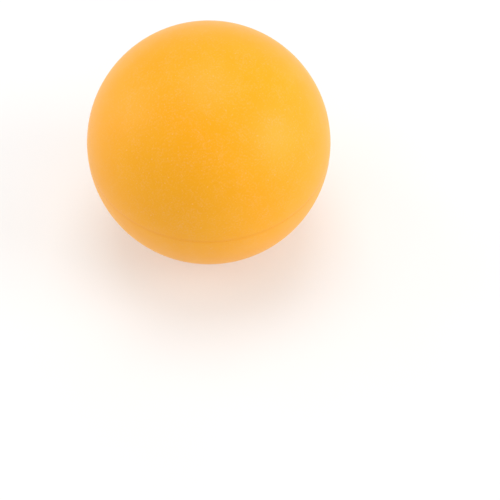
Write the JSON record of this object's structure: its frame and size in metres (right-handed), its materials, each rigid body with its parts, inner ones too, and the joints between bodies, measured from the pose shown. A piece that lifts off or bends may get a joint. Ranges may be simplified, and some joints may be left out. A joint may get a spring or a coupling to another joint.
{
  "type": "table tennis ball",
  "caption": "Hollow sealed plastic ball for table tennis, two lapped half shells cemented at the equator, matte orange and unmarked.",
  "frame": {"origin": "centre of the ball", "axes": "+Z along the moulding axis, normal to the seam plane, from the lower half shell to the upper one; the ball is round about it, so X and Y are any two directions in the seam plane"},
  "size_m": [0.04, 0.04, 0.04],
  "materials": {
    "shell_plastic": "matte",
    "cement": "satin"
  },
  "bodies": {
    "root": {"upper_half_shell": "shell_plastic", "lower_half_shell": "shell_plastic", "seam_cement": "cement"}
  },
  "joints": []
}
